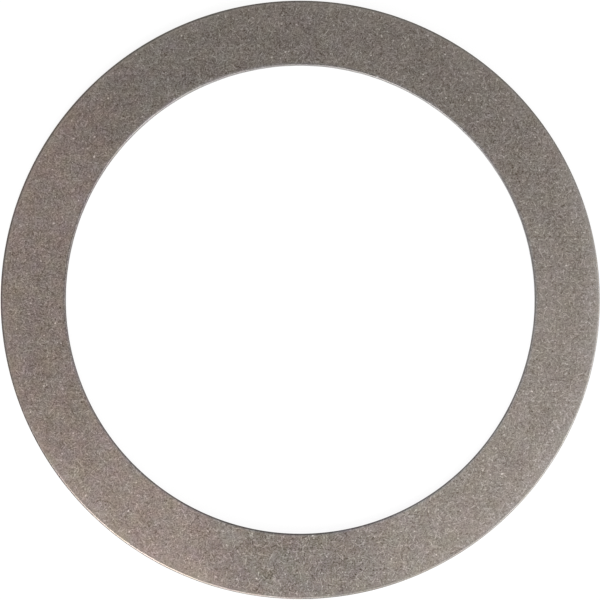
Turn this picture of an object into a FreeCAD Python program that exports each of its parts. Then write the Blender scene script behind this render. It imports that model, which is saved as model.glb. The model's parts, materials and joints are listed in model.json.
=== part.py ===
import FreeCAD, Part

import math
import os
import sys

import Sketcher

# Thrust washer: a flat ring blanked from steel sheet, one piece.
#
# It lies flat. The origin is the centre of the bore in the plane of the lower face, and +Z runs
# up the bore's axis. Bore and rim were sheared in one stroke, so both walls show the same zones.
# From the top down they are a rolled corner with a rounded nose, a straight band cut to size, a
# break that leans back into the metal, and a burr edge rounded by tumbling. Lengths are in
# millimetres.

NODE = "thrust_washer"

# name, value and meaning of each driving dimension
DIMENSIONS = [
    ("bore_diameter", 54.0, "bore, across the straight band of its wall"),
    ("ring_width", 7.5, "from the bore's straight band to the rim's, on one side"),
    ("sheet_thickness", 1.5, "face to face"),
    ("rim_roll_width", 0.20, "reach of the rim's rolled corner over the top face"),
    ("rim_roll_depth", 0.13, "reach of the rim's rolled corner down the wall"),
    ("bore_roll_width", 0.16, "reach of the bore's rolled corner over the top face"),
    ("bore_roll_depth", 0.11, "reach of the bore's rolled corner down the wall"),
    ("nose_radius", 0.05, "where a rolled corner turns down into the wall"),
    ("break_height", 0.65, "height of the broken part of both walls"),
    ("break_angle", 6.0, "lean of the broken part from the wall, in degrees"),
    ("burr_radius", 0.12, "rounding of the burr edges by the lower face"),
]
SIZE = {name: value for name, value, meaning in DIMENSIONS}

# the ends of a line or arc in a sketch, and the sketch's origin, where its horizontal axis starts
START, END = range(1, 3)
ORIGIN = (-1, START)


def dimension_sheet(doc):
    """The spreadsheet of driving dimensions, one named cell each."""
    sheet = doc.addObject("Spreadsheet::Sheet", "dimensions")
    for row, (name, value, meaning) in enumerate(DIMENSIONS, start=1):
        sheet.set(f"A{row}", name)
        sheet.set(f"B{row}", str(value))
        sheet.set(f"C{row}", meaning)
        sheet.setAlias(f"B{row}", name)
    return sheet


def wall_zones(wall_x, inward, roll_width, roll_depth):
    """The five zones of one wall as (start, end, centre); centre is None for a straight one.

    wall_x is the straight band's distance from the axis. inward is -1 for the rim and +1 for the
    bore: the side on which the metal lies. The zones follow the section's outline, which is taken
    counter-clockwise, so the rim's run up and the bore's run down.
    """
    top, broken = SIZE["sheet_thickness"], SIZE["break_height"]
    lean = math.radians(SIZE["break_angle"])
    nose, burr = SIZE["nose_radius"], SIZE["burr_radius"]

    def point(into_metal, height):
        return FreeCAD.Vector(wall_x + inward * into_metal, height, 0)

    burr_in = (burr + (broken - burr) * math.sin(lean)) / math.cos(lean)
    face_end = point(burr_in, 0)
    break_low = point(burr_in - burr * math.cos(lean), burr - burr * math.sin(lean))
    break_high = point(0, broken)
    band_high = point(0, top - roll_depth)

    # the roll is the one arc that leaves the top face smoothly and holds the nose inside it
    roll = ((roll_width - nose) ** 2 + roll_depth**2 - nose**2) / (2 * (roll_depth - nose))
    nose_centre = point(nose, top - roll_depth)
    roll_centre = point(roll_width, top - roll)
    roll_low = nose_centre + (nose_centre - roll_centre) * (nose / (roll - nose))
    roll_high = point(roll_width, top)

    upwards = [
        (face_end, break_low, point(burr_in, burr)),
        (break_low, break_high, None),
        (break_high, band_high, None),
        (band_high, roll_low, nose_centre),
        (roll_low, roll_high, roll_centre),
    ]
    if inward < 0:
        return upwards
    return [(end, start, centre) for start, end, centre in reversed(upwards)]


def curve(start, end, centre):
    """A straight line, or the arc that runs counter-clockwise about centre."""
    if centre is None:
        return Part.LineSegment(start, end)
    first, last = start - centre, end - centre
    circle = Part.Circle(centre, FreeCAD.Vector(0, 0, 1), first.Length)
    return Part.ArcOfCircle(circle, math.atan2(first.y, first.x), math.atan2(last.y, last.x))


def section_sketch(body):
    """The ring's section on the XZ plane: distance from the axis along X, height along Y."""
    sketch = body.newObject("Sketcher::SketchObject", "section")
    plane = next(f for f in body.Origin.OriginFeatures if f.Role == "XZ_Plane")
    sketch.AttachmentSupport = [(plane, "")]
    sketch.MapMode = "FlatFace"

    bore_x = SIZE["bore_diameter"] / 2
    rim_x = bore_x + SIZE["ring_width"]
    rim = wall_zones(rim_x, -1, SIZE["rim_roll_width"], SIZE["rim_roll_depth"])
    bore = wall_zones(bore_x, 1, SIZE["bore_roll_width"], SIZE["bore_roll_depth"])
    lower = [(bore[-1][1], rim[0][0], None)]
    upper = [(rim[-1][1], bore[0][0], None)]
    outline = [sketch.addGeometry(curve(*zone), False) for zone in lower + rim + upper + bore]
    lower_face, rim_burr, rim_break, rim_band, rim_nose, rim_roll = outline[:6]
    upper_face, bore_roll, bore_nose, bore_band, bore_break, bore_burr = outline[6:]

    def hold(kind, *where):
        return sketch.addConstraint(Sketcher.Constraint(kind, *where))

    def drive(name, kind, *where, by):
        """Names a measured constraint and binds it to the sheet of dimensions."""
        sketch.renameConstraint(hold(kind, *where), name)
        sketch.setExpression(f"Constraints.{name}", by)

    def apart(name, kind, near, far, by):
        """Drives the distance from one point to another, along one axis of the sketch."""
        gap = sketch.getPoint(*far) - sketch.getPoint(*near)
        drive(name, kind, *near, *far, gap.x if kind == "DistanceX" else gap.y, by=by)

    kinks = [(rim_break, rim_band), (bore_band, bore_break)]
    for first, second in zip(outline, outline[1:] + outline[:1]):
        kind = "Coincident" if (first, second) in kinks else "Tangent"
        hold(kind, first, END, second, START)
    hold("PointOnObject", lower_face, START, ORIGIN[0])
    hold("Horizontal", lower_face)
    hold("Horizontal", upper_face)
    hold("Vertical", rim_band)
    hold("Vertical", bore_band)
    hold("Horizontal", rim_band, START, bore_band, END)

    rim_foot, rim_head = (rim_band, START), (rim_band, END)
    bore_head, bore_foot = (bore_band, START), (bore_band, END)
    rim_edge, bore_edge = (upper_face, START), (upper_face, END)
    apart("bore_radius", "DistanceX", ORIGIN, bore_foot, "dimensions.bore_diameter / 2")
    apart("ring_width", "DistanceX", bore_foot, rim_foot, "dimensions.ring_width")
    apart("thickness", "DistanceY", ORIGIN, rim_edge, "dimensions.sheet_thickness")
    apart("broken", "DistanceY", ORIGIN, rim_foot, "dimensions.break_height")
    apart("rim_roll_over", "DistanceX", rim_edge, rim_head, "dimensions.rim_roll_width")
    apart("rim_roll_down", "DistanceY", rim_head, rim_edge, "dimensions.rim_roll_depth")
    apart("bore_roll_over", "DistanceX", bore_head, bore_edge, "dimensions.bore_roll_width")
    apart("bore_roll_down", "DistanceY", bore_head, bore_edge, "dimensions.bore_roll_depth")

    upright = math.radians(90 - SIZE["break_angle"])
    drive("rim_lean", "Angle", rim_break, upright, by="(90 - dimensions.break_angle) * 1 deg")
    drive("bore_lean", "Angle", bore_break, -upright, by="(dimensions.break_angle - 90) * 1 deg")
    nose, burr = SIZE["nose_radius"], SIZE["burr_radius"]
    drive("rim_nose_radius", "Radius", rim_nose, nose, by="dimensions.nose_radius")
    drive("bore_nose_radius", "Radius", bore_nose, nose, by="dimensions.nose_radius")
    drive("rim_burr_radius", "Radius", rim_burr, burr, by="dimensions.burr_radius")
    drive("bore_burr_radius", "Radius", bore_burr, burr, by="dimensions.burr_radius")
    return sketch


def washer_body(doc):
    """The ring: its section turned once round the bore's axis."""
    body = doc.addObject("PartDesign::Body", NODE)
    body.Label = NODE
    section = section_sketch(body)
    doc.recompute()

    ring = body.newObject("PartDesign::Revolution", "ring")
    ring.Profile = section
    ring.ReferenceAxis = (section, ["V_Axis"])
    ring.Angle = 360
    section.Visibility = False
    body.Tip = ring
    doc.recompute()
    return body


def faults(doc, body):
    """What is wrong with the document, in words; empty when it is sound."""
    found = [
        f"{thing.Label}: {state}"
        for thing in doc.Objects
        for state in thing.State
        if state in ("Invalid", "Error")
    ]
    shape = body.Shape
    if shape.isNull() or not shape.isValid():
        found.append(f"{body.Label}: its shape is null or not valid")
    elif len(shape.Solids) != 1:
        found.append(f"{body.Label}: {len(shape.Solids)} solids in place of one")
    return found


def main():
    doc = FreeCAD.newDocument(NODE)
    dimension_sheet(doc)
    doc.recompute()
    body = washer_body(doc)

    wrong = faults(doc, body)
    if wrong:
        sys.exit("\n".join(wrong))
    os.makedirs("parts", exist_ok=True)
    body.Shape.exportStep(f"parts/{body.Label}.step")
    print(f"{body.Label}: {body.Shape.Volume:.3f} mm3, {len(body.Shape.Faces)} faces")


main()
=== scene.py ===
"""Thrust washer of blanked and tumbled steel, lying on a pale floor.

The washer is one mesh, turned from the section of a sheared ring. Bore and rim each have a rolled
corner, a straight band, a break and a rounded burr edge. Rolls and break lines wander a little
round the ring, as the die leaves them. The finish is grain and short marks, pressed and scratched
in every direction by the tumbling. Light and shading are painted into its colour as well: paler
and darker stretches round the ring, on two sides of the rim and on the bore's edge line, and
bright specks as painted glints.
"""

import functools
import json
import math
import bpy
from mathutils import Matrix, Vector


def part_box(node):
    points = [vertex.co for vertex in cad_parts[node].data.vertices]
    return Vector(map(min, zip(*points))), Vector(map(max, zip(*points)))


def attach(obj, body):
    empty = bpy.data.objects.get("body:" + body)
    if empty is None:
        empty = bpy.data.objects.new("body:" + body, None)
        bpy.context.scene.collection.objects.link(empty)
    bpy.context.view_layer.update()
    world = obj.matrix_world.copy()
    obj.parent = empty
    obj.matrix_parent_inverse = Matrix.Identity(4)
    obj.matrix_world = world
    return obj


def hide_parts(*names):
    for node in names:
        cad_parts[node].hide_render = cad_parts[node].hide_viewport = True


bl_info = {
    "name": "Thrust washer",
    "version": (1, 0, 0),
    "blender": (4, 5, 0),
    "location": "View3D > Sidebar > Washer",
    "description": "A blanked and tumbled steel thrust washer with its studio",
    "category": "Add Mesh",
}

import bpy
import numpy as np
from bpy.props import FloatProperty, FloatVectorProperty, IntProperty, PointerProperty
from bpy.types import Operator, Panel, PropertyGroup
from mathutils import Matrix, Vector

NODE = "thrust_washer"
MM = 0.001

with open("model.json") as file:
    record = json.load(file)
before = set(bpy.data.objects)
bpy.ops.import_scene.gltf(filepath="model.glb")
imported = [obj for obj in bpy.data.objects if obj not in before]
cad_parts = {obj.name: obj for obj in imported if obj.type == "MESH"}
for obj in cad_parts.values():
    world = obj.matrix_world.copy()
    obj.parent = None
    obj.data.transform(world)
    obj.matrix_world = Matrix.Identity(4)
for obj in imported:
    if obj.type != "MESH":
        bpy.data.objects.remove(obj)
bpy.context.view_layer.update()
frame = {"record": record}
NODE_LOW, NODE_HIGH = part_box(NODE)
MOUNTS = {mount["name"]: mount for mount in frame["record"]["mounts"]}

# how far the pattern of marks is moved for each step of the seed, in millimetres
SEED_STEP = (17.3, 9.1, 0)

# the shortest mark's share of the full length, the share of a mark's width that is fully marked,
# and the share of its length from which its ends fade
SHORTEST = 0.4
CORE = 0.2
MARK_FADE = 0.6

# the share of the marks that have their full strength
FULL_MARKS = 0.6

# layers of grain: by how many millimetres the noise is moved, how fine it is against the finish's
# grain, its detail and its roughness. The facets' move puts the upper face half-way between two
# planes of the noise's lattice.
GRAINS = {
    "facets": ((0, 0, -0.005), 1.0, 2.0, 0.6),
    "pits": ((13, 7, 4), 0.45, 1.0, 0.5),
    "clumps": ((5, 31, 2), 0.22, 2.0, 0.5),
    "blotches": ((61, 4, 9), 0.08, 1.0, 0.5),
}

# families of short marks, each of one or more patterns: cell, length and width in millimetres, the
# share of the cells with a mark, and a seed. The glint and spark families are painted glints:
# small bright specks in the colour.
MARKS = {
    "bright": (
        (0.62, 0.64, 0.065, 0.6, 1),
        (0.74, 0.777, 0.062, 0.5, 2),
        (0.9, 0.945, 0.062, 0.5, 3),
        (1.4, 1.47, 0.062, 0.5, 10),
    ),
    "dark": ((0.6, 0.6, 0.1, 0.5, 4), (0.86, 0.9, 0.1, 0.45, 5)),
    "glint": ((0.8, 0.22, 0.11, 0.3, 6),),
    "pock": ((0.84, 0.22, 0.12, 0.3, 12),),
    "spark": ((2.4, 0.3, 0.12, 0.5, 9),),
    "scratch": ((3.4, 3.6, 0.075, 0.4, 7),),
    "gouge": ((4.0, 3.8, 0.11, 0.3, 8),),
}

# painted light and shade: soft stretches of the ring painted paler or darker: bearing and reach in
# degrees, and by how much
RING_PAINTED_LIGHT = (
    (-30, 60, 0.085),
    (-90, 24, -0.11),
    (-127, 28, 0.08),
    (156, 19, 0.09),
    (80, 80, -0.05),
)

# the same for the edge line of the bore: a painted highlight on one bearing, painted shade on
# another
BORE_PAINTED_LIGHT = ((119, 30, 0.42), (170, 35, -0.36))

# bands along the rim and along the bore: how far in from the edge each is gone, and how far in it
# is still full, in millimetres
RIM_BANDS = {
    "polish": (0.6, 0.25),
    "worn": (2.6, 0.4),
    # painted shade: the line band darkens the outermost rim on one side
    "line": (0.2, 0.06),
    "lip": (0.46, 0.2),
    "pale": (0.45, 0.15),
}
# the bore's line band is where light and shade are painted on its edge line
BORE_BANDS = {"polish": (0.55, 0.2), "line": (0.33, 0.17), "cool": (0.45, 0.1)}

# how far in from either edge the flat face begins and is full, and how far below the upper face the
# upper part of the ring is gone and full, in millimetres
FACE_START = (0.02, 0.2)
UPPER_PART = (0.3, 0.1)

# the bore's polish against the rim's
BORE_POLISH = 0.4

# sides of the ring: a bearing in degrees, and how far from the axis towards it the side begins and
# is full, in millimetres
SIDES = {
    # painted light: the rim is painted lighter on this side and the next, and made cooler on this
    # one
    "burnished_and_lit": (-15, 20, 31),
    # painted light and shade: here the worn rim is painted lighter and its outermost line darker
    "painted_lower_left": (-127, 29, 32.5),
    "reddish": (194.5, 9, 21),
    "stained": (206.6, -22.4, 22.4),
}

# noises of the broken wall and of the mottle: by how many millimetres each is moved, its waves to
# a millimetre, its detail and its roughness
NOISES = {
    "ragged": ((3, 3, 0), 1.3, 3.0, 0.6),
    "torn": ((0, 0, 0), 9.0, 3.0, 0.7),
    "warm": ((40, 12, 5), 0.5, 2.0, 0.5),
    "green": ((8, 71, 3), 0.5, 2.0, 0.5),
}

# how fine the drag lines are round the ring and down the wall, in waves to a millimetre, and their
# detail and roughness
DRAG_FINENESS = (13, 13, 0.7)
DRAG_DETAIL = (2.0, 0.6)

# the most that the break line's noise can swing, and how far above the line the break is gone and
# below it full, in millimetres
BREAK_STRAY = 0.3
BREAK_EDGE = (0.07, 0.05)

# the strength of the warm and green mottle off the stained side, and what that side adds
MOTTLE = (0.65, 0.7)

# how cool the worn rim of the first side, where light is also painted, is against the bore's edge
BURNISHED_COOL = 0.3

# how much lighter each layer makes the steel: in speckles on the faces, in speckles on the walls,
# and evenly, on top of the plain tone
FACE_SPECKLE = {
    "facets": 2.4,
    "pits": 0.12,
    "clumps": 0.2,
    "blotches": 0.28,
    "bright": 0.64,
    "dark": -0.26,
    # painted glints: the glint and spark families lighten tiny specks
    "glint": 0.9,
    "spark": 1.3,
    "pock": -0.35,
    "scratch": 0.26,
    "gouge": -0.24,
}
WALL_SPECKLE = {"drag_lines": 0.5, "torn": 0.6}
PLAIN_TONE = 0.935
TONE = {
    "polish": 0.17,
    "worn": 0.06,
    # painted light: the rim's bands paler on two sides
    "rim_painted_light": 0.08,
    # painted shade: the outermost rim line darker on one side
    "rim_painted_dark_line": -0.65,
    # painted highlight and painted shade on the bore's edge line
    "bore_edge_painted_light": 1.0,
    # painted light and shade: paler and darker stretches round the ring
    "painted_shading": 1.0,
    "broken": -0.1,
    "drag": 0.04,
}

# the share of the speckle that polish and drag take away
POLISH_CALM = 0.4
DRAG_CALM = 0.5

# how much red, green and blue each colour cast adds, and the speckle's share of each
CASTS = {
    "warm": (0.065, 0.0, -0.16),
    "green": (0.0, 0.145, 0.0),
    "reddish": (0.055, -0.012, -0.02),
    "cool": (-0.06, 0.0, 0.09),
    "pale": (-0.036, 0.0, 0.02),
}
SPECKLE_CAST = (0.93, 1.0, 1.07)

# how much rougher each layer makes the steel, and how far it lifts the surface in millimetres
ROUGHER = {
    "facets": 0.3,
    "dark": 0.08,
    "bright": -0.08,
    "polish": -0.05,
    "broken": 0.16,
    "drag": -0.08,
    "drag_lines": 0.12,
}
RAISED = {
    "facets": 0.006,
    "bright": 0.002,
    "dark": -0.003,
    "scratch": -0.003,
    "gouge": -0.004,
    "lip": 0.006,
    "drag_lines": 0.006,
    "torn": 0.02,
}

# mesh steps along each zone of a wall
STEPS = {"burr": 6, "break": 6, "band": 5, "nose": 6, "roll": 10}

# rows of points across a flat face, as shares of its width; the outer two lie close to the edges,
# so that the shading of the corners stays off the face
ROWS = (0.004, *np.linspace(0.1, 0.9, 9), 0.996)

# the seed of the ring's wander, and the least and most periods a turn of the rolls and break lines
WANDER_SEED = 7
ROLL_PERIODS = (3, 40)
BREAK_PERIODS = (8, 120)

# bearings on which the rolls are widest, in degrees
RIM_WIDEST = 170
BORE_WIDEST = 228

# the map: pieces that each band is cut into round the ring, the gap between bands, and the margin
# at the ends of a band as a share of the map
PIECES_ROUND = 3
MAP_GAP = 0.4 * MM
MAP_MARGIN = 0.004

# the floor lies this much lower than the washer, so that the two never share a plane
SUNK = 0.02 * MM

# the floor's shadow shows in full up to the first of these distances, and not at all from the
# second, in metres; the lit floor's share there; and the strength of the white that covers it
SHADOW_REACH = (0.06, 0.3)
SHADOW_SHARE = 0.12
FLOOR_WHITE = 1.04

# bearing from +X towards -Y in degrees, distance from the axis, height, and both sides in metres
LAMPS = {
    "front": (80, 0.20, 0.36, (0.3, 0.3)),
    "right": (13, 0.30, 0.30, (0.3, 0.3)),
    "left": (119, 0.36, 0.26, (0.3, 0.25)),
    "low": (50, 0.40, 0.22, (0.3, 0.2)),
}

# how far up the ceiling begins, where 0 is the horizon and 1 straight above
CEILING_START = 0.3


class WasherSizes(PropertyGroup):
    """Sizes of the ring and of its sheared walls."""

    bore_radius: FloatProperty(
        name="Bore radius",
        description="From the axis to the straight band of the bore's wall",
        default=MOUNTS["bore"]["dims"]["r_mm"] * MM,
        unit="LENGTH",
        precision=5,
    )
    rim_radius: FloatProperty(
        name="Rim radius",
        description="From the axis to the straight band of the rim's wall",
        default=min(-NODE_LOW.x, -NODE_LOW.y, NODE_HIGH.x, NODE_HIGH.y),
        unit="LENGTH",
        precision=5,
    )
    thickness: FloatProperty(
        name="Thickness",
        description="From the lower face to the upper face",
        default=NODE_HIGH.z - NODE_LOW.z,
        unit="LENGTH",
        precision=5,
    )
    rim_roll: FloatVectorProperty(
        name="Rim roll",
        description="How far the rim's rolled corner reaches over the face and down the wall",
        default=(0.20 * MM, 0.13 * MM),
        size=2,
        unit="LENGTH",
        precision=5,
    )
    bore_roll: FloatVectorProperty(
        name="Bore roll",
        description="How far the bore's rolled corner reaches over the face and down the wall",
        default=(0.16 * MM, 0.11 * MM),
        size=2,
        unit="LENGTH",
        precision=5,
    )
    nose: FloatProperty(
        name="Nose radius",
        description="Where a rolled corner turns down into the wall",
        default=0.05 * MM,
        unit="LENGTH",
        precision=5,
    )
    break_height: FloatProperty(
        name="Break height",
        description="Height of the broken part of both walls",
        default=0.65 * MM,
        unit="LENGTH",
        precision=5,
    )
    break_angle: FloatProperty(
        name="Break angle",
        description="Lean of the broken part from the wall",
        default=math.radians(6),
        unit="ROTATION",
    )
    burr: FloatProperty(
        name="Burr radius",
        description="Rounding of the burr edges by the lower face",
        default=0.12 * MM,
        unit="LENGTH",
        precision=5,
    )
    wander: FloatProperty(
        name="Wander",
        description="How far rolls and break lines stray from their mean size round the ring",
        default=0.12,
        subtype="FACTOR",
        min=0,
        max=0.4,
    )
    uneven: FloatProperty(
        name="Uneven roll",
        description="How much wider a roll is on one side of the ring, from uneven die clearance",
        default=0.33,
        subtype="FACTOR",
        min=0,
        max=0.5,
    )
    spans: IntProperty(
        name="Spans",
        description="Spans of the mesh round the ring",
        default=900,
        min=90,
        max=1080,
    )


class WasherFinish(PropertyGroup):
    """Colours and grain of the tumbled steel."""

    steel: FloatVectorProperty(
        name="Steel",
        description="Mean colour of the tumbled face",
        default=(0.25, 0.2185, 0.194),
        subtype="COLOR",
        min=0,
        max=1,
    )
    grain: FloatProperty(
        name="Grain",
        description="Size of the pressed facets, in millimetres",
        default=0.13,
        min=0.02,
    )
    roughness: FloatProperty(
        name="Roughness",
        description="Mean roughness of the tumbled face",
        default=0.42,
        subtype="FACTOR",
        min=0,
        max=1,
    )


class StudioSizes(PropertyGroup):
    """Camera, lamps and floor."""

    distance: FloatProperty(
        name="Camera distance",
        description="From the washer's upper face to the camera",
        default=0.5,
        unit="LENGTH",
    )
    tilt: FloatProperty(
        name="Camera tilt",
        description="How far the camera leans from straight above, towards -Y",
        default=math.radians(3),
        unit="ROTATION",
    )
    turn: FloatProperty(
        name="Camera turn",
        description="Bearing of that lean, from -Y towards +X",
        default=math.radians(-10),
        unit="ROTATION",
    )
    aim: FloatVectorProperty(
        name="Camera aim",
        description="Point of the upper face in the middle of the picture",
        default=(-0.042 * MM, -0.147 * MM),
        size=2,
        unit="LENGTH",
        precision=5,
    )
    lens: FloatProperty(
        name="Lens",
        description="Focal length in millimetres on a sensor 36 mm wide",
        default=260.7,
    )
    sky: FloatProperty(
        name="Sky",
        description="Brightness of the plain surroundings, where 1 is white",
        default=0.16,
        min=0,
    )
    ceiling: FloatProperty(
        name="Ceiling",
        description="Brightness that the surroundings gain from the horizon to straight above",
        default=0.35,
        min=0,
    )
    front_power: FloatProperty(
        name="Front lamp",
        description="Power of the soft lamp high in front of the washer",
        default=0.42,
        unit="POWER",
    )
    right_power: FloatProperty(
        name="Right lamp",
        description="Power of the soft lamp to the right",
        default=0.79,
        unit="POWER",
    )
    left_power: FloatProperty(
        name="Left lamp",
        description="Power of the soft lamp to the left",
        default=1.86,
        unit="POWER",
    )
    low_power: FloatProperty(
        name="Low lamp",
        description="Power of the low soft lamp between the front and right ones",
        default=0.4,
        unit="POWER",
    )
    floor_width: FloatProperty(
        name="Floor width",
        description="Side of the square floor",
        default=4.0,
        unit="LENGTH",
    )


class Flow:
    """A value on its way through a node tree. Arithmetic on it adds the Math nodes it needs."""

    def __init__(self, tree, socket):
        self.tree = tree
        self.socket = socket

    def math(self, operation, *others):
        inputs = dict(enumerate((self, *others)))
        return self.tree.node("ShaderNodeMath", {"operation": operation}, inputs)

    def __add__(self, other):
        return self.math("ADD", other)

    def __sub__(self, other):
        return self.math("SUBTRACT", other)

    def __mul__(self, other):
        return self.math("MULTIPLY", other)

    def __truediv__(self, other):
        return self.math("DIVIDE", other)

    def __rsub__(self, other):
        return self.tree.node("ShaderNodeMath", {"operation": "SUBTRACT"}, {0: other, 1: self})

    __radd__ = __add__
    __rmul__ = __mul__

    def __abs__(self):
        return self.math("ABSOLUTE")

    def least(self, other):
        return self.math("MINIMUM", other)

    def most(self, other):
        return self.math("MAXIMUM", other)

    def over(self, low, high):
        """0 below low, 1 above high, and a smooth rise between; low may be the greater."""
        return self.tree.node(
            "ShaderNodeMapRange",
            {"interpolation_type": "SMOOTHSTEP"},
            {"Value": self, "From Min": low, "From Max": high},
        )


class Nodes:
    """A material's or world's node tree, emptied and then filled by one method."""

    def __init__(self, owner):
        owner.use_nodes = True
        self.tree = owner.node_tree
        self.tree.nodes.clear()

    def node(self, kind, settings=None, inputs=None, out=0):
        """Adds a node, sets its settings and then its sockets, and gives one of its outputs."""
        node = self.tree.nodes.new(kind)
        for name, value in (settings or {}).items():
            setattr(node, name, value)
        for name, value in (inputs or {}).items():
            if isinstance(value, Flow):
                self.tree.links.new(value.socket, node.inputs[name])
            else:
                node.inputs[name].default_value = value
        return Flow(self, node.outputs[out]) if node.outputs else None

    def vector(self, operation, *inputs):
        """The result of a Vector Math node."""
        return self.node("ShaderNodeVectorMath", {"operation": operation}, dict(enumerate(inputs)))

    def parts(self, vector):
        """The three numbers of a vector."""
        node = self.node("ShaderNodeSeparateXYZ", inputs={0: vector}).socket.node
        return [Flow(self, socket) for socket in node.outputs]

    def noise(self, place, scale, detail, roughness):
        """Smooth noise about zero, with so many waves to each unit of place."""
        found = self.node(
            "ShaderNodeTexNoise",
            {"noise_dimensions": "3D"},
            {"Vector": place, "Scale": scale, "Detail": detail, "Roughness": roughness},
        )
        return found - 0.5

    def marks(self, place, cell, length, width, share, seed):
        """Short straight marks, at most one in each cell of the plane, each turned its own way.

        cell, length and width are in millimetres; share is the part of the cells with a mark.
        """
        shifted = self.vector("ADD", place, tuple(step * seed for step in SEED_STEP))
        scaled = self.vector("MULTIPLY", shifted, (1 / cell, 1 / cell, 0))
        voronoi = {"voronoi_dimensions": "2D", "feature": "F1"}
        lookup = {"Vector": scaled, "Scale": 1.0, "Randomness": 1.0}
        chance = self.node("ShaderNodeTexVoronoi", voronoi, lookup, out="Color")
        centre = Flow(self, chance.socket.node.outputs["Position"])
        turn, strength, stretch = self.parts(chance)
        east, north, _ = self.parts(self.vector("SUBTRACT", scaled, centre))
        angle = turn * math.tau
        cosine, sine = angle.math("COSINE"), angle.math("SINE")
        along = abs(east * cosine + north * sine)
        across = abs(north * cosine - east * sine)
        reach = (stretch * (1 - SHORTEST) + SHORTEST) * (length / 2 / cell)
        body = across.over(width / cell, CORE * width / cell)
        ends = (along / reach).over(1.0, MARK_FADE)
        return body * ends * strength.over(1 - share, 1 - FULL_MARKS * share)


def wave(angles, rng, periods, count=14):
    """A smooth closed curve round the ring, between about -1 and 1, of so many periods a turn."""
    total = np.zeros_like(angles)
    for _ in range(count):
        turns = rng.integers(*periods)
        total += rng.uniform(0.4, 1.0) * np.cos(turns * angles + rng.uniform(0, math.tau))
    return total / math.sqrt(count)


def arc(centre, radius, start, end, steps):
    """Points on an arc as (steps + 1, spans, 2), for centres and angles that vary by span."""
    share = np.linspace(0, 1, steps + 1)[:, None]
    angle = start + (end - start) * share
    return np.stack(
        [centre[0] + radius * np.cos(angle), centre[1] + radius * np.sin(angle)], axis=-1
    )


def line(first, last, steps):
    """Points on a straight line as (steps + 1, spans, 2)."""
    share = np.linspace(0, 1, steps + 1)[:, None, None]
    first, last = np.stack(first, axis=-1), np.stack(last, axis=-1)
    return first + (last - first) * share


def wall(sizes, roll_width, roll_depth, break_height):
    """One wall from the lower face up to the top face, as (points, spans, 2).

    The first number is how far a point lies inside the metal from the straight band, and the second
    its height. All sizes are arrays round the ring.
    """
    zero = np.zeros_like(roll_width)
    top, lean = zero + sizes.thickness, sizes.break_angle
    nose, burr = sizes.nose, sizes.burr
    roll = ((roll_width - nose) ** 2 + roll_depth**2 - nose**2) / (2 * (roll_depth - nose))
    burr_in = (burr + (break_height - burr) * math.sin(lean)) / math.cos(lean)
    tilt = np.arctan2(roll - roll_depth, roll_width - nose)
    low = burr_in - burr * math.cos(lean), zero + burr - burr * math.sin(lean)
    down, level, across = zero - math.pi / 2, zero + math.pi, zero + math.pi / 2
    burr_centre, nose_centre = (burr_in, zero + burr), (zero + nose, top - roll_depth)
    zones = [
        arc(burr_centre, burr, down, zero - math.pi + lean, STEPS["burr"]),
        line(low, (zero, break_height), STEPS["break"]),
        line((zero, break_height), (zero, top - roll_depth), STEPS["band"]),
        arc(nose_centre, nose, level, math.pi - tilt, STEPS["nose"]),
        arc((roll_width, top - roll), roll, math.pi - tilt, across, STEPS["roll"]),
    ]
    return np.concatenate([zones[0], *(zone[1:] for zone in zones[1:])])


class WASHER_OT_ring(Operator):
    """Turn the ring from its sheared section and give it its finish"""

    bl_idname = "washer.ring"
    bl_label = "Ring"

    def execute(self, context):
        sizes = context.scene.washer_sizes
        ring = ring_object(context, sizes)
        ring.data.materials.append(tumbled_steel(context.scene.washer_finish, sizes))
        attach(ring, "root")
        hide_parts(NODE)
        return {"FINISHED"}


def ring_object(context, sizes):
    """The washer's mesh: its section round the axis, closed on itself."""
    rng = np.random.default_rng(WANDER_SEED)
    angles = np.arange(sizes.spans) * math.tau / sizes.spans

    def stray(periods):
        return 1 + sizes.wander * wave(angles, rng, periods)

    def side(roll, widest):
        width, depth = roll
        even = stray(ROLL_PERIODS) + sizes.uneven * np.cos(angles - math.radians(widest))
        height = sizes.break_height * stray(BREAK_PERIODS)
        return wall(sizes, width * even, depth * (0.5 + 0.5 * even), height)

    rim_wall = side(sizes.rim_roll, RIM_WIDEST)
    bore_wall = side(sizes.bore_roll, BORE_WIDEST)
    rim = np.stack([sizes.rim_radius - rim_wall[..., 0], rim_wall[..., 1]], axis=-1)
    bore = np.stack([sizes.bore_radius + bore_wall[..., 0], bore_wall[..., 1]], axis=-1)
    across = np.array(ROWS)[:, None, None]
    upper = rim[-1] + (bore[-1] - rim[-1]) * across
    lower = bore[0] + (rim[0] - bore[0]) * across
    section = np.concatenate([rim, upper, bore[::-1], lower])

    points, spans = section.shape[:2]
    radius, height = section[..., 0].T, section[..., 1].T
    coordinates = np.stack(
        [radius * np.cos(angles)[:, None], radius * np.sin(angles)[:, None], height], axis=-1
    )
    span, point = np.meshgrid(np.arange(spans), np.arange(points), indexing="ij")
    next_span, next_point = (span + 1) % spans, (point + 1) % points
    faces = np.stack(
        [
            span * points + point,
            next_span * points + point,
            next_span * points + next_point,
            span * points + next_point,
        ],
        axis=-1,
    ).reshape(-1, 4)

    mesh = bpy.data.meshes.new("washer_ring")
    mesh.from_pydata(coordinates.reshape(-1, 3).tolist(), [], faces.tolist())
    mesh.update()
    mesh.shade_smooth()
    unwrap(mesh, section.mean(axis=1), (len(rim), len(upper)))
    ring = bpy.data.objects.new("washer_ring", mesh)
    context.scene.collection.objects.link(ring)
    return ring


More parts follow.
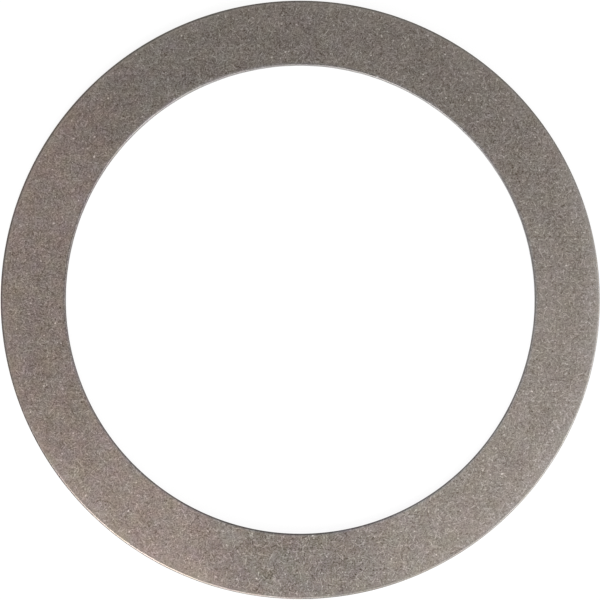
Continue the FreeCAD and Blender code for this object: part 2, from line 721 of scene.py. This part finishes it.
def unwrap(mesh, outline, counts):
    """Lays the ring out as a map of straight strips.

    outline is the mean section, and counts are the points of one wall and of one face. Walls and
    faces come off the section as four bands, and each band is cut into pieces round the ring.
    """
    wall_points, face_points = counts
    points = len(outline)
    steps = np.linalg.norm(np.roll(outline, -1, axis=0) - outline, axis=1)
    rim_top, bore_top = wall_points - 1, wall_points + face_points
    cuts = (0, rim_top, bore_top, bore_top + rim_top, points)
    low, high = np.zeros(points), np.zeros(points)
    base = MAP_GAP / 2
    for first, last in zip(cuts, cuts[1:]):
        run = np.cumsum(steps[first:last])
        low[first:last] = base + run - steps[first:last]
        high[first:last] = base + run
        base += run[-1] + MAP_GAP

    spans = len(mesh.polygons) // points
    span = np.arange(spans)
    each = math.ceil(spans / PIECES_ROUND)
    length = 1 - 2 * MAP_MARGIN
    left = (MAP_MARGIN + length * (span % each) / each)[:, None]
    right = left + length / each
    lift = (base * (span // each))[:, None]
    corners = ((left, low), (right, low), (right, high), (left, high))
    rows = np.stack(
        [np.stack(np.broadcast_arrays(end, row + lift), axis=-1) for end, row in corners], axis=2
    )
    rows[..., 1] /= base * PIECES_ROUND
    layer = mesh.uv_layers.new(name="OFBake")
    layer.uv.foreach_set("vector", rows.astype(np.float32).ravel())


class Place:
    """Where a shaded point of the washer lies, in millimetres."""

    def __init__(self, tree, sizes):
        self.tree = tree
        metres = tree.node("ShaderNodeTexCoord", out="Object")
        self.point = tree.vector("MULTIPLY", metres, (1 / MM, 1 / MM, 1 / MM))
        self.x, self.y, self.height = tree.parts(self.point)
        self.radius = (self.x * self.x + self.y * self.y).math("SQRT")
        self.rim_in = sizes.rim_radius / MM - self.radius
        self.bore_in = self.radius - sizes.bore_radius / MM
        self.on_face = self.rim_in.least(self.bore_in).over(*FACE_START)
        top = sizes.thickness / MM
        gone, full = UPPER_PART
        self.upper = self.height.over(top - gone, top - full)

    def noise(self, move, scale, detail, roughness):
        """Smooth noise about zero, moved by some millimetres, with so many waves to each."""
        return self.tree.noise(self.tree.vector("ADD", self.point, move), scale, detail, roughness)

    def towards(self, bearing):
        """How far the point lies from the axis towards a bearing in degrees."""
        run, rise = math.cos(math.radians(bearing)), math.sin(math.radians(bearing))
        return self.x * run + self.y * rise

    def side(self, name):
        """0 off one of the ring's sides and 1 on it."""
        bearing, begins, full = SIDES[name]
        return self.towards(bearing).over(begins, full)

    def painted_lobes(self, painted_lobes):
        """Painted light and shading: soft stretches of the ring summed, each strongest on its own
        bearing.
        """
        found = []
        for bearing, reach, strength in painted_lobes:
            facing = self.towards(bearing) / self.radius
            found.append(facing.over(math.cos(math.radians(reach)), 1.0) * strength)
        return sum(found)


def weigh(weights, layers):
    """The sum of the named layers, each times its weight."""
    return sum(layers[name] * weight for name, weight in weights.items())


def grain_layers(at, finish):
    """Noises from the pressed facets up to wide blotches, each about zero."""
    return {
        name: at.noise(move, fineness / finish.grain, detail, roughness)
        for name, (move, fineness, detail, roughness) in GRAINS.items()
    }


def mark_layers(at):
    """The families of marks and scratches, which lie on the flat faces alone."""
    layers = {}
    for family, patterns in MARKS.items():
        found = [at.tree.marks(at.point, *pattern) for pattern in patterns]
        layers[family] = functools.reduce(Flow.most, found) * at.on_face
    return layers


def edge_layers(at):
    """Polish and wear along the edges of the upper face, and painted light and shading: paler and
    darker stretches round the ring, on two sides of the rim and on the bore's edge line.
    """
    rim_polish = at.rim_in.over(*RIM_BANDS["polish"]) * at.upper
    bore_polish = at.bore_in.over(*BORE_BANDS["polish"]) * at.upper
    worn = at.rim_in.over(*RIM_BANDS["worn"])
    # the side where the rim is painted lighter and its outermost line darker, as painted light and
    # shade
    painted_lower_left = at.side("painted_lower_left")
    # the band of the bore's edge line where light and shade are painted
    bore_edge_painted_light = at.bore_in.over(*BORE_BANDS["line"]) * at.upper
    return {
        "polish": rim_polish + bore_polish * BORE_POLISH,
        "worn": worn,
        # painted light: the rim's bands painted paler on two sides
        "rim_painted_light": at.side("burnished_and_lit") * (worn + rim_polish) + painted_lower_left * worn,
        # painted shade: the outermost rim line darker on one side
        "rim_painted_dark_line": painted_lower_left * at.rim_in.over(*RIM_BANDS["line"]) * at.upper,
        # painted highlight and painted shade on the bore's edge line
        "bore_edge_painted_light": at.painted_lobes(BORE_PAINTED_LIGHT) * bore_edge_painted_light,
        "lip": at.rim_in.over(*RIM_BANDS["lip"]) * at.upper,
        # painted light and shade: paler and darker stretches round the ring
        "painted_shading": at.painted_lobes(RING_PAINTED_LIGHT),
    }


def wall_layers(at, sizes):
    """Drag lines down the straight band of each wall, and the torn break below it."""
    ragged = at.height + at.noise(*NOISES["ragged"]) * BREAK_STRAY
    break_line = sizes.break_height / MM
    above, below = BREAK_EDGE
    off_face = 1 - at.on_face
    broken = ragged.over(break_line + above, break_line - below) * off_face
    drag = (1 - broken) * off_face
    stretched = at.tree.vector("MULTIPLY", at.point, DRAG_FINENESS)
    return {
        "broken": broken,
        "drag": drag,
        "drag_lines": at.tree.noise(stretched, 1.0, *DRAG_DETAIL) * drag,
        "torn": at.noise(*NOISES["torn"]) * broken,
    }


def cast_layers(at):
    """How strong each colour cast is."""
    plain, added = MOTTLE
    stained = at.side("stained") * added + plain
    burnished_and_lit = at.side("burnished_and_lit") * at.rim_in.over(*RIM_BANDS["worn"])
    return {
        "warm": at.noise(*NOISES["warm"]) * stained,
        "green": at.noise(*NOISES["green"]) * stained,
        "reddish": at.side("reddish"),
        "cool": at.bore_in.over(*BORE_BANDS["cool"]) + burnished_and_lit * BURNISHED_COOL,
        "pale": at.rim_in.over(*RIM_BANDS["pale"]),
    }


def tumbled_steel(finish, sizes):
    """Tumbled bare steel: pressed grain and marks every way, paler edges, painted light and
    shading.
    """
    material = bpy.data.materials.new("tumbled_steel")
    t = Nodes(material)
    at = Place(t, sizes)
    layers = grain_layers(at, finish) | mark_layers(at) | edge_layers(at) | wall_layers(at, sizes)
    casts = cast_layers(at)

    calm = (1 - POLISH_CALM * layers["polish"]) * (1 - DRAG_CALM * layers["drag"])
    speckle = weigh(FACE_SPECKLE, layers) * calm + weigh(WALL_SPECKLE, layers)
    tone = weigh(TONE, layers) + PLAIN_TONE

    def channel(index):
        """Red, green or blue against the mean colour of the steel."""
        shares = {name: share[index] for name, share in CASTS.items() if share[index]}
        return (tone + speckle * SPECKLE_CAST[index]) * (weigh(shares, casts) + 1)

    level = t.node("ShaderNodeCombineXYZ", inputs={index: channel(index) for index in range(3)})
    relief = {"Height": weigh(RAISED, layers), "Distance": MM, "Strength": 1.0}
    surface = t.node(
        "ShaderNodeBsdfPrincipled",
        inputs={
            "Base Color": t.vector("MULTIPLY", tuple(finish.steel), level),
            "Metallic": 1.0,
            "Roughness": weigh(ROUGHER, layers) + finish.roughness,
            "Normal": t.node("ShaderNodeBump", inputs=relief),
        },
    )
    t.node("ShaderNodeOutputMaterial", inputs={"Surface": surface})
    return material


class WASHER_OT_studio(Operator):
    """Lay the pale floor, hang the lamps and set the camera above the washer"""

    bl_idname = "washer.studio"
    bl_label = "Studio"

    def execute(self, context):
        studio = context.scene.washer_studio
        lay_floor(context, studio)
        hang_lamps(context, studio)
        light_world(context, studio)
        set_camera(context, studio)
        context.scene.view_settings.view_transform = "Standard"
        return {"FINISHED"}


def seen_directly(t):
    """1 for a ray from the camera or one that a glossy or clear surface sends on."""
    path = t.node("ShaderNodeLightPath", out="Is Camera Ray")
    outputs = path.socket.node.outputs
    glossy = Flow(t, outputs["Is Glossy Ray"])
    clear = Flow(t, outputs["Is Transmission Ray"])
    return path.most(glossy).most(clear)


def lay_floor(context, studio):
    """A white floor that keeps the shadow near the washer, and is clear when seen from below."""
    half = studio.floor_width / 2
    mesh = bpy.data.meshes.new("floor")
    corners = ((-half, -half), (half, -half), (half, half), (-half, half))
    mesh.from_pydata([(x, y, -SUNK) for x, y in corners], [], [(0, 1, 2, 3)])
    floor = bpy.data.objects.new("floor", mesh)
    context.scene.collection.objects.link(floor)
    material = bpy.data.materials.new("floor_white")
    t = Nodes(material)
    x, y, _ = t.parts(t.node("ShaderNodeTexCoord", out="Object"))
    far = (x * x + y * y).math("SQRT").over(*SHADOW_REACH)
    lit = t.node("ShaderNodeBsdfDiffuse", inputs={"Color": (0.9, 0.9, 0.9, 1)})
    white = t.node("ShaderNodeEmission", inputs={"Color": (1, 1, 1, 1), "Strength": FLOOR_WHITE})
    share = seen_directly(t) * (far * SHADOW_SHARE + (1 - SHADOW_SHARE))
    shown = t.node("ShaderNodeMixShader", inputs={0: share, 1: lit, 2: white})
    below = t.node("ShaderNodeNewGeometry", out="Backfacing")
    clear = t.node("ShaderNodeBsdfTransparent")
    surface = t.node("ShaderNodeMixShader", inputs={0: below, 1: shown, 2: clear})
    t.node("ShaderNodeOutputMaterial", inputs={"Surface": surface})
    mesh.materials.append(material)


def hang_lamps(context, studio):
    """Soft rectangular lamps, each aimed at the washer."""
    for name, (bearing, out, high, sides) in LAMPS.items():
        data = bpy.data.lights.new(f"{name}_lamp", "AREA")
        data.shape = "RECTANGLE"
        data.size, data.size_y = sides
        data.energy = getattr(studio, f"{name}_power")
        lamp = bpy.data.objects.new(data.name, data)
        context.scene.collection.objects.link(lamp)
        angle = math.radians(-bearing)
        place = Vector((out * math.cos(angle), out * math.sin(angle), high))
        turned = place.to_track_quat("Z", "Y").to_matrix().to_4x4()
        lamp.matrix_world = Matrix.Translation(place) @ turned
        lamp.visible_camera = False


def light_world(context, studio):
    """Surroundings that are white to the camera, and dim with a brighter ceiling to the washer."""
    world = bpy.data.worlds.new("studio")
    context.scene.world = world
    t = Nodes(world)
    _, _, up = t.parts(t.node("ShaderNodeTexCoord", out="Generated"))
    level = up.over(CEILING_START, 1.0) * studio.ceiling + studio.sky
    dim = t.node("ShaderNodeBackground", inputs={"Color": (1, 1, 1, 1), "Strength": level})
    white = t.node("ShaderNodeBackground", inputs={"Color": (1, 1, 1, 1), "Strength": 1.0})
    camera = t.node("ShaderNodeLightPath", out="Is Camera Ray")
    shown = t.node("ShaderNodeMixShader", inputs={0: camera, 1: dim, 2: white})
    t.node("ShaderNodeOutputWorld", inputs={"Surface": shown})


def set_camera(context, studio):
    """The camera looks down on the upper face, +Y up in the picture."""
    data = bpy.data.cameras.new("camera")
    camera = bpy.data.objects.new("camera", data)
    context.scene.collection.objects.link(camera)
    aim = Vector((*studio.aim, NODE_HIGH.z))
    lean = math.sin(studio.tilt)
    towards = Vector(
        (lean * math.sin(studio.turn), -lean * math.cos(studio.turn), math.cos(studio.tilt))
    )
    right = Vector((0, 1, 0)).cross(towards).normalized()
    up = towards.cross(right)
    turned = Matrix((right, up, towards)).transposed()
    camera.matrix_world = Matrix.Translation(aim + towards * studio.distance) @ turned.to_4x4()
    data.sensor_width = 36
    data.lens = studio.lens
    data.clip_start = 0.01
    context.scene.camera = camera


class WASHER_PT_panel(Panel):
    """Buttons and sizes of the washer"""

    bl_idname = "WASHER_PT_panel"
    bl_label = "Washer"
    bl_space_type = "VIEW_3D"
    bl_region_type = "UI"
    bl_category = "Washer"

    def draw(self, context):
        for operator in OPERATORS:
            self.layout.operator(operator.bl_idname)
        for name in GROUPS:
            group = getattr(context.scene, name)
            box = self.layout.box()
            for key in group.__annotations__:
                box.prop(group, key)


GROUPS = {
    "washer_sizes": WasherSizes,
    "washer_finish": WasherFinish,
    "washer_studio": StudioSizes,
}
OPERATORS = (WASHER_OT_ring, WASHER_OT_studio)
CLASSES = (*GROUPS.values(), *OPERATORS, WASHER_PT_panel)


def register():
    for cls in CLASSES:
        bpy.utils.register_class(cls)
    for name, group in GROUPS.items():
        setattr(bpy.types.Scene, name, PointerProperty(type=group))


def unregister():
    for name in GROUPS:
        delattr(bpy.types.Scene, name)
    for cls in reversed(CLASSES):
        bpy.utils.unregister_class(cls)


def main():
    register()
    bpy.ops.washer.ring()
    bpy.ops.washer.studio()


if __name__ == "__main__":
    main()
